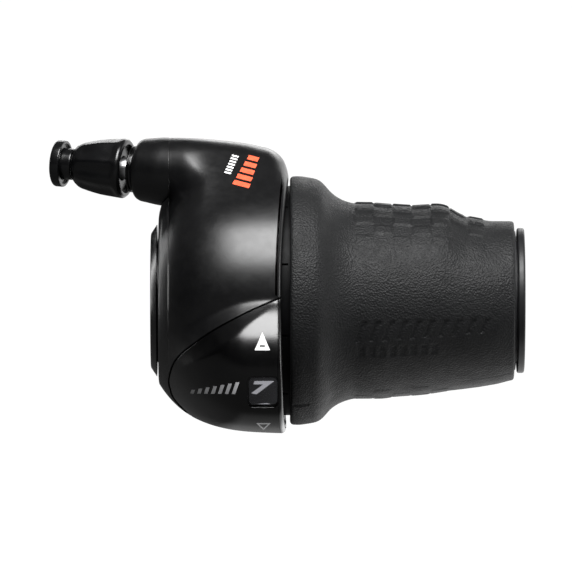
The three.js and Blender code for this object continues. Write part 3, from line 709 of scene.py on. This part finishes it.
def build_prints():
    panel_layer = shell(-PRINT_HEIGHT, 0.2)
    up = [[21.25, -9.95], [24.35, -9.95], [22.8, -6.35]]
    up_minus = rounded_square(22.8, -9.1, 1.1, 0.34, 0.1, 3)
    pierced_mark("panel_mark_high", up, up_minus, WHITE_PRINT, panel_layer)
    bars = []
    for k in range(7):
        tall = 0.75 + 0.27 * k
        bars.append(slanted_bar(8.7 + 1.45 * k, -18.75 + tall / 2, 0.72, tall, 0.0, 0.35))
    prints("panel_bars", bars, BAR_PRINT, panel_layer, "gloss_plastic")

    down = [[21.55, -24.65], [24.5, -24.65], [23.0, -26.15]]
    down_inner = [[22.15, -24.9], [23.9, -24.9], [23.02, -25.8]]
    pierced_mark("panel_mark_low", down, down_inner, GLOWING_GREY_PRINT, panel_layer)

    hump_layer = shell(-PRINT_HEIGHT, 0.25, hump=True)
    way = math.atan2(5.9, 2.9)
    reds = []
    for k in range(5):
        t = (k + 0.5) / 5
        reds.append(slanted_bar(18.25 + 2.9 * t, 23.0 + 6.6 * t, 0.95, 3.5 - 1.5 * t, way, -0.2))
    prints("housing_marks_red", reds, RED_PRINT, hump_layer, "satin_plastic")
    whites = []
    for k in range(7):
        t = (k + 0.5) / 7
        whites.append(slanted_bar(15.6 + 1.75 * t, 25.7 + 4.0 * t, 0.34, 1.35, way, -0.2))
    prints("housing_marks_white", whites, WHITE_PRINT, hump_layer, "satin_plastic")


# ---- twist grip -------------------------------------

# The rubber's profile along its top and along its underside, as X and radius.
FLANGE = [[28.35, 25.3], [30.4, 25.4], [31.6, 25.2], [32.9, 25.0], [34.1, 24.75], [35.3, 23.8], [36.5, 22.2]]
RUBBER_TOP = np.array([*FLANGE, [37.8, 21.2], [39, 20.5], [40.2, 20.1], [41.4, 19.8], [46, 19.75],
                       [50, 19.4], [53, 19.2], [56, 19.4], [58.6, 19.5], [59.8, 19.3], [61, 18.8],
                       [62.2, 18.0], [63.5, 17.3], [64.7, 17.0], [66, 16.8], [68.4, 16.3], [69.6, 16.2],
                       [74, 16.2]])
RUBBER_LOW = np.array([*FLANGE, [37.8, 21.3], [39, 20.7], [40.2, 20.3], [41.4, 20.0], [47.5, 19.95],
                       [48.8, 19.7], [51, 19.5], [54, 19.3], [56.1, 19.1], [58.6, 18.75], [60, 18.5],
                       [63.5, 18.1], [65, 17.9], [67, 17.65], [69.6, 17.2], [70.8, 17.0], [72, 16.65],
                       [73.3, 16.3], [74, 16.2]])


def softened(profile):
    """A profile as a function of X, with its corners smoothed out."""
    step, reach, spread = 0.1, 20, 0.55
    x = np.arange(profile[0, 0] - 3, profile[-1, 0] + 3, step)
    r = np.interp(x, profile[:, 0], profile[:, 1])
    weight = np.exp(-0.5 * (np.arange(-reach, reach + 1) * step / spread) ** 2)
    r = np.convolve(np.pad(r, reach, mode="edge"), weight / weight.sum(), mode="valid")
    return lambda at: np.interp(at, x, r)


def box_step(x, start, end, soft):
    """1 between two places and 0 outside them, with soft edges."""
    return smoothstep(x, start - soft, start + soft) * (1 - smoothstep(x, end - soft, end + soft))


RUBBER_START = 28.35
RUBBER_END = 74.0
LINING_RADIUS = 23.7
BLOCKS_START = 41.7
BLOCK_LENGTH = 3.85
BLOCK_DEGREES = 8.6
STROKES_RADIUS = 19.2


def rubber_height(x, angle):
    """How far the rubber's moulded pattern stands out of its plain shape. Angles go up from the front."""
    degrees = np.degrees(angle)
    around = np.abs(((degrees + 180) % 360) - 180)
    lift = np.zeros(np.broadcast(x, angle).shape)
    for i in range(7):
        for j in range(13):
            if (i + j) % 2:
                continue
            low = 34.0 + BLOCK_DEGREES * j
            high = low + BLOCK_DEGREES
            middle = low + BLOCK_DEGREES / 2
            fade = smoothstep(90 - abs(middle - 90), 30, 66)
            height = (0.10 + 0.24 * fade) * (0.8 if i > 4 else 1.0)
            start = BLOCKS_START + BLOCK_LENGTH * i
            width = BLOCK_LENGTH - (0.9 if i > 4 else 0.25)
            block = box_step(x, start, start + width, 0.14)
            lift += height * block * box_step(degrees, low + 0.6, high - 0.6, 0.45)
    for i in range(5):
        for j in range(5):
            if (i + j) % 2:
                start, low = BLOCKS_START + BLOCK_LENGTH * i, -108 + BLOCK_DEGREES * j
                block = box_step(x, start, start + BLOCK_LENGTH - 0.4, 0.16)
                lift += 0.09 * block * box_step(degrees, low, low + BLOCK_DEGREES - 1.2, 0.5)
    arc = angle * STROKES_RADIUS
    for i in range(10):
        x0 = 42.6 + 2.75 * i
        slant = x - 0.42 * (arc + 6.4)
        stroke = box_step(slant, x0 - 0.55, x0 + 0.55, 0.13)
        lift -= 0.26 * stroke * box_step(arc, -8.4 + 0.12 * i, -4.1, 0.13)
    for i in range(8):
        x0 = 42.0 + 2.12 * i
        lift -= 0.2 * box_step(x, x0, x0 + 1.35, 0.12) * box_step(arc, -11.6, -9.4, 0.13)
    lift -= 0.3 * box_step(x, 28.0, 32.2, 0.2) * box_step(degrees, -57.6, -56.4, 0.4)
    lift -= 0.07 * smoothstep(x, 55, 70) * box_step(degrees, -64.6, -64.0, 0.3)
    lift -= 0.07 * box_step(around, 179.7, 181, 0.25)
    return lift


def build_rubber():
    top, low = softened(RUBBER_TOP), softened(RUBBER_LOW)
    angle = np.linspace(-np.pi, np.pi, 420, endpoint=False)
    weight = smoothstep(np.sin(angle), 0.15, 0.85)
    rings = []

    def ring(x, radius):
        rings.append(ring_at(x, radius, angle))

    def outer(x):
        return low(x) * (1 - weight) + top(x) * weight

    for x in (RUBBER_END, 66.0, 56.0, 46.0, 38.2, 30.5, RUBBER_START):
        ring(x, np.interp(x, [30.5, 38.2, RUBBER_END], [LINING_RADIUS, 18.3, 14.75]))
    for t in np.linspace(0, np.pi / 2, 5)[:-1]:
        x = RUBBER_START + 0.75 * (1 - math.cos(t))
        ring(x, outer(x) - 0.75 * (1 - math.sin(t)))
    for x in np.arange(29.1, 73.45, 0.3):
        ring(x, outer(x) + rubber_height(x, angle))
    for t in np.linspace(0, np.pi / 2, 5)[1:]:
        x = 73.4 + 0.6 * math.sin(t)
        ring(x, outer(73.4) - 0.6 * (1 - math.cos(t)))
    made = make_object("rubber_cover", *loft(rings), RUBBER, 60)
    add_piece(made, "grip", "grip_rubber", "grip_rubber")


def build_core():
    profile = [(20.4, 12.7), (20.4, 14.4), (26.4, 14.4), (26.4, 23.4), (30.3, 23.4), (38.0, 18.0),
               (73.7, 14.4), (73.7, 12.7)]
    steps = []
    slot = [[26.0, -0.22], [28.0, -0.22], [28.0, 0.22], [26.0, 0.22]]
    for k in range(10):
        turn = 2 * math.pi * k / 10 + 0.31
        points, faces = prism(slot, -25, -22.6)
        ct, st = math.cos(turn), math.sin(turn)
        spin = np.array([[1, 0, 0], [0, ct, -st], [0, st, ct]])
        steps.append(("DIFFERENCE", (points @ spin.T, faces)))
    mesh = combine(loft(turned(rounded(profile, [0.1, 0.1, 0.4, 0.3, 0.5, 2.0, 0.1, 0.1]), 240)), steps)
    # The frame's darker colour is painted shade for the gap where it sits.
    add_piece(dress("grip_frame", mesh, FRAME_BLACK_PAINTED_SHADE), "grip", "nylon", "grip_core")


def digit(text, wide, tall, lean):
    """A generic digit as a thin mesh, lying flat, centred on its own origin, in millimetres."""
    curve = bpy.data.curves.new("digit", "FONT")
    curve.body = text
    curve.extrude = 0.03
    curve.offset = 0.035
    curve.resolution_u = 6
    source = bpy.data.objects.new("digit", curve)
    scene.collection.objects.link(source)
    mesh = bpy.data.meshes.new_from_object(source.evaluated_get(bpy.context.evaluated_depsgraph_get()))
    bpy.data.objects.remove(source)
    points = np.array([v.co for v in mesh.vertices])
    middle = (points.min(0) + points.max(0)) / 2
    size = points.max(0) - points.min(0)
    points = (points - middle) / size * [wide, tall, 1.0]
    points[:, 0] += lean * points[:, 1]
    return mesh, points


DIAL_RADIUS = 23.5
DIGIT_X = 22.65
DIGIT_RISE = 0.045
GEARS = 7
GEAR_STEP = 20.0
WINDOW_ANGLE = -48.7


def build_number_ring():
    profile = [(19.0, 22.0), (19.0, DIAL_RADIUS), (26.0, DIAL_RADIUS), (26.0, 14.7), (24.2, 14.7),
               (24.2, 22.0)]
    ring = make_object("number_dial", *loft(turned(rounded(profile, 0.2), 240)), GLOWING_NUMBER_PLASTIC)
    add_piece(ring, "grip", "number_plastic", "number_ring")
    for number in range(1, GEARS + 1):
        mesh, points = digit(str(number), 3.9 if number != 1 else 1.9, 4.0, 0.24)
        turn = math.radians(WINDOW_ANGLE - GEAR_STEP * (GEARS - number)) + points[:, 1] / DIAL_RADIUS
        radius = DIAL_RADIUS + DIGIT_RISE + 2 * DIGIT_RISE * points[:, 2]
        placed = ring_at(DIGIT_X + points[:, 0], radius, turn) * MM
        mesh.vertices.foreach_set("co", placed.ravel())
        mesh.update()
        made = dress(f"dial_digit_{number}", mesh, GLOWING_DIGIT_INK)
        add_piece(made, "grip", "number_plastic")


# ---- outlet and barrel adjuster ---------------------


FLUTES = 8
FLUTE_DEPTH = 0.5
PITCH = 0.8


def build_outlet():
    profile = [(-OUTLET_REACH, 3.4), (-OUTLET_REACH, OUTLET_RADIUS), (-6.6, OUTLET_RADIUS), (-3.9, 6.6),
               (-2.4, 6.4), (-1.6, 6.0), (-1.3, 5.2), (-1.3, 3.4)]
    mesh = combine(outlet_loft(rounded(profile, [0.05, 0.05, 2.0, 0.8, 0.5, 0.4, 0.25, 0.2], 6), 160),
                   [("DIFFERENCE", past_hump_face())])
    add_piece(dress("outlet_boss", mesh, SATIN), "housing", "satin_plastic", "cable_outlet_boss")

    profile = [(-1.0, 2.55), (-1.0, 4.4), (-0.4, 4.4), (-0.4, 4.75), (0, 4.75), (0, 2.55)]
    profile = rounded(profile, [0.1, 0.3, 0.1, 0.12, 0.12, 0.1])
    collar = make_object("outlet_collar", *outlet_loft(profile), GLOSS)
    add_piece(collar, "housing", "gloss_plastic", "adjuster_collar")


def build_knob():
    angle = np.linspace(0, 2 * np.pi, 144, endpoint=False)
    wave = (0.5 - 0.5 * np.cos(FLUTES * (angle - math.radians(33)))) ** 0.8
    outline = rounded([(2.1, 2.55), (2.1, 5.0), (1.1, 5.0), (1.1, 5.6), (1.6, 6.1), (2.5, 6.12), (3.1, 6.08),
                       (6.0, 5.82), (8.4, 5.36), (10.6, 4.8), (11.6, 4.2), (12.3, 3.4), (12.3, 2.55)],
                      [0.05, 0.05, 0.12, 0.3, 0.4, 0.3, 0.6, 1.2, 1.2, 0.8, 0.5, 0.3, 0.1], 5)
    rings = []
    for x, r in outline:
        fade_in, fade_out = float(smoothstep(x, 1.9, 3.3)), float(smoothstep(x, 9.4, 12.0))
        depth = FLUTE_DEPTH * fade_in * (1 - 0.8 * fade_out) * (r > 4.0)
        rings.append(ring_at(x, r - depth * wave, angle))
    points, faces = loft(rings)
    knob = make_object("barrel_knob", on_outlet(points), faces, KNOB_BLACK, 40)
    add_piece(knob, "adjuster", "gloss_plastic", "adjuster_knob")


def build_bolt_and_stop():
    thread = [(-5.8, 1.2), (-5.8, 2.1)]
    for k in range(8):
        thread += [(-5.6 + PITCH * k, 2.25), (-5.2 + PITCH * k, 1.95)]
    thread += [(1.0, 2.25), (12.0, 2.25), (12.0, 1.2)]
    bolt = make_object("barrel_bolt", *outlet_loft(thread, 48), STEEL)
    add_piece(bolt, "adjuster", "steel", "adjuster_bolt")

    profile = [(12.6, 1.0), (12.6, 3.2), (15.1, 3.2), (15.1, 4.15), (14.6, 4.15), (14.6, 4.75), (16.6, 4.75),
               (16.6, 2.2), (13.2, 2.2), (13.2, 1.0)]
    profile = rounded(profile, [0.1, 0.3, 0.2, 0.1, 0.12, 0.35, 0.6, 0.25, 0.1, 0.1], 5)
    stop = make_object("casing_socket", *outlet_loft(profile), KNOB_BLACK)
    add_piece(stop, "casing_carrier", "gloss_plastic", "casing_stop")


# ---- handlebar side ---------------------------------


def build_small_turned():
    cap = [(0, 11.6), (0, 13.6), (1.3, 15.6), (1.3, 12.6), (3.0, 12.6), (3.0, 11.6)]
    cap = rounded(cap, [0.1, 0.35, 0.25, 0.1, 0.1, 0.1])
    made = make_object("inboard_lip", *loft(turned(cap, 240)), GLOSS)
    add_piece(made, "housing", "gloss_plastic", "inboard_cap")
    sleeve = [(14.5, 11.25), (14.5, 12.4), (76.0, 12.4), (76.0, 11.25)]
    made = make_object("bar_tube", *loft(turned(rounded(sleeve, 0.2), 160)), NYLON)
    add_piece(made, "housing", "nylon", "bar_sleeve")
    ring = [(74.6, 12.7), (74.6, 14.8), (76.1, 14.8), (76.1, 12.7)]
    ring = rounded(ring, [0.1, 0.45, 0.55, 0.15], 6)
    made = make_object("outboard_ring", *loft(turned(ring, 240)), CORE_BLACK)
    add_piece(made, "housing", "gloss_plastic", "end_ring")
    washer = [(74.02, 12.7), (74.02, 14.2), (74.3, 14.2), (74.3, 12.7)]
    made = make_object("slip_washer", *loft(turned(rounded(washer, 0.08), 160)), NYLON)
    add_piece(made, "housing", "nylon", "thrust_washer")


def build_bracket():
    profile = [(3.9, 11.25), (3.9, 13.2), (12.8, 13.2), (12.8, 22.4), (14.2, 22.4), (14.2, 11.25)]
    body = loft(turned(rounded(profile, [0.2, 0.3, 0.8, 0.3, 0.3, 0.2]), 200))
    slit = [[0, -0.6], [10.6, -0.6], [10.6, 0.6], [0, 0.6]]
    across, faces = prism(slit, -20, 20)
    steps = [("UNION", rod(0, 2.3, 13.4, 18.8, DETENT_PLACE)),
             ("DIFFERENCE", rod(0, 1.75, 14.2, 19.8, DETENT_PLACE)),
             ("DIFFERENCE", (across, faces)),
             ("DIFFERENCE", (across[:, [0, 2, 1]], [face[::-1] for face in faces]))]
    for place in SCREW_PLACES:
        steps.append(("DIFFERENCE", rod(0, 1.4, 11.8, 15.2, place)))
    made = dress("bar_bracket", combine(body, steps), NYLON)
    add_piece(made, "housing", "nylon", "mounting_bracket")


def build_clamp():
    left, right = 6.6, 11.8
    ring = loft(turned(rounded([(left, 13.5), (left, 14.5), (right, 14.5), (right, 13.5)], 0.15), 200))
    ears = prism([[left, -4.4], [right, -4.4], [right, 4.4], [left, 4.4]], 13.8, 19.4)
    split = prism([[left - 1, -1.4], [right + 1, -1.4], [right + 1, 1.4], [left - 1, 1.4]], 10, 21)
    steps = [("UNION", ears), ("DIFFERENCE", split), ("DIFFERENCE", rod(2, 2.2, -6, 6, CLAMP_PLACE)),
             ("DIFFERENCE", rod(0, 13.5, left - 1, right + 1, (0, 0), 200))]
    add_piece(dress("clamp_strap", combine(ring, steps), STEEL), "housing", "steel", "clamp_band")
    head = rounded([(-7.1, 0.2), (-7.1, 3.0), (-4.7, 3.0), (-4.7, 0.2)], [0.05, 0.4, 0.1, 0.05])
    points, faces = loft(turned(head, 64))
    points = points[:, [2, 1, 0]] + [*CLAMP_PLACE, 0]
    shank = rod(2, 1.9, -5.2, 8.6, CLAMP_PLACE)
    plug = rod(2, 1.0, -6.9, -5.0, CLAMP_PLACE)
    steps = [("UNION", plug), ("UNION", shank), ("DIFFERENCE", rod(2, 1.5, -8.1, -5.5, CLAMP_PLACE, 6))]
    mesh = combine((points, [face[::-1] for face in faces]), steps)
    add_piece(dress("clamp_screw", mesh, STEEL), "housing", "steel", "clamp_bolt")


def screw_mesh(head, head_height, shank, length):
    """A pan-head screw along +X from its tip, with a cross recess."""
    profile = rounded([(0, 0.02), (0, shank), (length - head_height, shank), (length - head_height, head),
                       (length, head), (length, 0.02)], [0.0, 0.2, 0.1, 0.15, 0.35, 0.0])
    wide, narrow = head * 0.7, max(head * 0.13, 0.17)
    outline = [[length - 0.6, -narrow], [length + 1, -narrow], [length + 1, narrow], [length - 0.6, narrow]]
    across, faces = prism(outline, -wide, wide)
    return combine(loft(turned(profile, 48)),
                   [("DIFFERENCE", (across, faces)),
                    ("DIFFERENCE", (across[:, [0, 2, 1]], [face[::-1] for face in faces]))])


def build_screws():
    for k, (y, z) in enumerate(SCREW_PLACES):
        points, faces = read_solid(screw_mesh(2.0, 1.4, 1.1, 10.8))
        made = make_object(f"housing_fixing_{k + 1}", points * [-1, 1, 1] + [15.6, y, z],
                           [face[::-1] for face in faces], STEEL)
        add_piece(made, "housing", "steel", f"housing_screw_{k + 1}")
    for k, (x, z) in enumerate(COVER_SCREW_PLACES):
        points, faces = read_solid(screw_mesh(1.5, 0.8, 0.8, 3.2))
        points = points[:, [1, 0, 2]] * [-1, 1, 1] + [x, 21.7, z]
        made = make_object(f"cover_fixing_{k + 1}", points, faces, STEEL)
        add_piece(made, "housing", "steel", f"cover_screw_{k + 1}")


# ---- prints' and window's materials -----------------


def ink(name, dark, light):
    return surface(name, dark, light, (0.35, 0.5), [("noise", 5200.0, 0.12, 0.01)], specular=0.4, patch=900.0)


WHITE_PRINT = ink("white_print", (0.72, 0.72, 0.72), (0.84, 0.84, 0.84))
BAR_PRINT = ink("bar_print", (0.34, 0.34, 0.35), (0.44, 0.44, 0.45))
GREY_LIGHT = (0.46, 0.46, 0.47)
# Painted glow: the grey mark gives off some light of its own, on top of its print colour.
GLOWING_GREY_PRINT = glowing(ink("grey_print_painted_glow", (0.36, 0.36, 0.37), GREY_LIGHT), GREY_LIGHT, 0.25)
RED_PRINT = ink("red_print", (0.74, 0.085, 0.035), (0.86, 0.125, 0.055))
DIGIT_LIGHT = (0.88, 0.88, 0.90)
# Painted glow: besides their white print colour, the digits give off light of their own, so they read bright
# behind the smoked window.
GLOWING_DIGIT_INK = glowing(ink("digit_ink_painted_glow", (0.78, 0.78, 0.80), DIGIT_LIGHT), DIGIT_LIGHT, 1.0)
CORE_BLACK = surface("core_black_plastic", (0.0060, 0.0062, 0.0068), (0.0095, 0.0097, 0.0105), (0.38, 0.48),
                     [("noise", 1900.0, 0.10, 0.03)], specular=0.3, edge=0.12)
# Painted shade: the grip frame sits in the narrow gap beside the housing, so its colour is darker than
# core_black_plastic to stand in for the shade there.
FRAME_BLACK_PAINTED_SHADE = surface("frame_black_plastic_painted_shade", (0.0014, 0.0014, 0.0016), (0.0024, 0.0025, 0.0027), (0.42, 0.55),
                      [("noise", 1900.0, 0.10, 0.03)], specular=0.08, edge=0.03)
SMOKED = surface("smoked_window", (0.30, 0.30, 0.32), (0.34, 0.34, 0.36), (0.03, 0.07),
                 [("noise", 260.0, 0.03, 0.02)], specular=0.4)
SMOKED.node_tree.nodes["Principled BSDF"].inputs["Transmission Weight"].default_value = 1.0
SMOKED.node_tree.nodes["Principled BSDF"].inputs["IOR"].default_value = 1.3

# ---- the object -------------------------------------

build_housing()
build_panel()
build_port_cover()
build_prints()
build_rubber()
build_core()
build_number_ring()
build_outlet()
build_knob()
build_bolt_and_stop()
build_small_turned()
build_bracket()
build_clamp()
build_screws()

# Pieces deep inside keep their CAD shapes, with finished materials.
CARRIED_OVER = {"cable_drum": NYLON, "index_ring": NYLON, "detent_plunger": STEEL, "detent_spring": STEEL,
                "adjuster_insert": BRASS, "clamp_nut": STEEL}
for name, material in CARRIED_OVER.items():
    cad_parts[name].data.materials.clear()
    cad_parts[name].data.materials.append(material)

# ---- studio -----------------------------------------


# The stage and its lights are in metres.
FLOOR_LEVEL = -0.052
FLAT_RADIUS = 2.2
BEND_RADIUS = 1.2
WALL_TOP = 2.6
FLOOR_GLOW = 1.0
FLOOR_BOUNCE = 0.20
GRIP_BOUNCE = 1.1
WORLD_LIGHT = 0.08


def floor_material():
    """Pale, and white to the camera. It throws light back only from behind the object's front, and more of it
    from under the grip."""
    material = bpy.data.materials.new("pale_floor")
    material.use_nodes = True
    tree = material.node_tree
    shader = tree.nodes["Principled BSDF"]
    shader.inputs["Specular IOR Level"].default_value = 0.0
    shader.inputs["Roughness"].default_value = 0.9
    place = tree.nodes.new("ShaderNodeTexCoord").outputs["Object"]
    tree.links.new(ramp(tree, noise(tree, place, 6.0), (0.05, 0.05, 0.05), (0.06, 0.06, 0.06)),
                   shader.inputs["Base Color"])
    along = node(tree, "ShaderNodeSeparateXYZ")
    tree.links.new(place, along.inputs["Vector"])
    # The glow fades in across these places along Y and X.
    behind = ranged(tree, along.outputs["Y"], 0.0, 1.0, -0.030, -0.018)
    outboard = ranged(tree, along.outputs["X"], 0.0, FLOOR_BOUNCE, 0.004, 0.012)
    under_grip = ranged(tree, along.outputs["X"], 0.0, GRIP_BOUNCE, 0.030, 0.045)
    both = maths(tree, "ADD", outboard, under_grip)
    mix = node(tree, "ShaderNodeMix")
    tree.links.new(tree.nodes.new("ShaderNodeLightPath").outputs["Is Camera Ray"], mix.inputs["Factor"])
    tree.links.new(maths(tree, "MULTIPLY", behind, both), mix.inputs["A"])
    mix.inputs["B"].default_value = FLOOR_GLOW
    shader.inputs["Emission Color"].default_value = (1, 1, 1, 1)
    tree.links.new(mix.outputs["Result"], shader.inputs["Emission Strength"])
    return material


def build_stage():
    """A round floor that curves up into a low wall, far outside the object."""
    profile = [(0.0, 0.0), (FLAT_RADIUS, 0.0)]
    for t in np.linspace(0, np.pi / 2, 13)[1:]:
        profile.append((FLAT_RADIUS + BEND_RADIUS * math.sin(t), BEND_RADIUS * (1 - math.cos(t))))
    profile.append((FLAT_RADIUS + BEND_RADIUS, WALL_TOP))
    sides = 96
    points = [(0.0, 0.0, 0.0)]
    for r, z in profile[1:]:
        for k in range(sides):
            points.append((r * math.cos(2 * math.pi * k / sides), r * math.sin(2 * math.pi * k / sides), z))
    faces = [(0, 1 + k, 1 + (k + 1) % sides) for k in range(sides)]
    for ring in range(len(profile) - 2):
        first = 1 + ring * sides
        for k in range(sides):
            following = (k + 1) % sides
            faces.append((first + k, first + sides + k, first + sides + following, first + following))
    mesh = bpy.data.meshes.new("floor")
    mesh.from_pydata([(x, y, z + FLOOR_LEVEL) for x, y, z in points], [], faces)
    mesh.shade_smooth()
    made = bpy.data.objects.new("floor", mesh)
    scene.collection.objects.link(made)
    mesh.materials.append(floor_material())


build_stage()

world = bpy.data.worlds.new("studio")
scene.world = world
world.use_nodes = True
tree = world.node_tree
background = tree.nodes["Background"]
background.inputs["Color"].default_value = (1, 1, 1, 1)
seen = tree.nodes.new("ShaderNodeLightPath").outputs["Is Camera Ray"]
tree.links.new(ranged(tree, seen, WORLD_LIGHT, 1.0, 0, 1), background.inputs["Strength"])


def softbox(name, azimuth, elevation, distance, width, height, power):
    """A soft light aimed at the object's middle: azimuth 0 is in front, positive towards outboard."""
    target = Vector((27.5, 0, 2.0)) * MM
    a, e = math.radians(azimuth), math.radians(elevation)
    way = Vector((math.sin(a) * math.cos(e), -math.cos(a) * math.cos(e), math.sin(e)))
    data = bpy.data.lights.new(name, "AREA")
    data.shape = "RECTANGLE"
    data.size = width
    data.size_y = height
    data.energy = power
    made = bpy.data.objects.new(name, data)
    made.location = target + way * distance
    made.rotation_mode = "QUATERNION"
    made.rotation_quaternion = way.to_track_quat("Z", "Y")
    scene.collection.objects.link(made)


softbox("key", 7, 53, 0.9, 0.64, 0.60, 22)
softbox("left_strip", -122, 10, 1.0, 0.12, 0.6, 1.6)
softbox("right_strip", 84, 8, 0.9, 0.14, 0.5, 2.0)
softbox("top_rear", 10, 152, 1.0, 1.0, 0.24, 2.2)
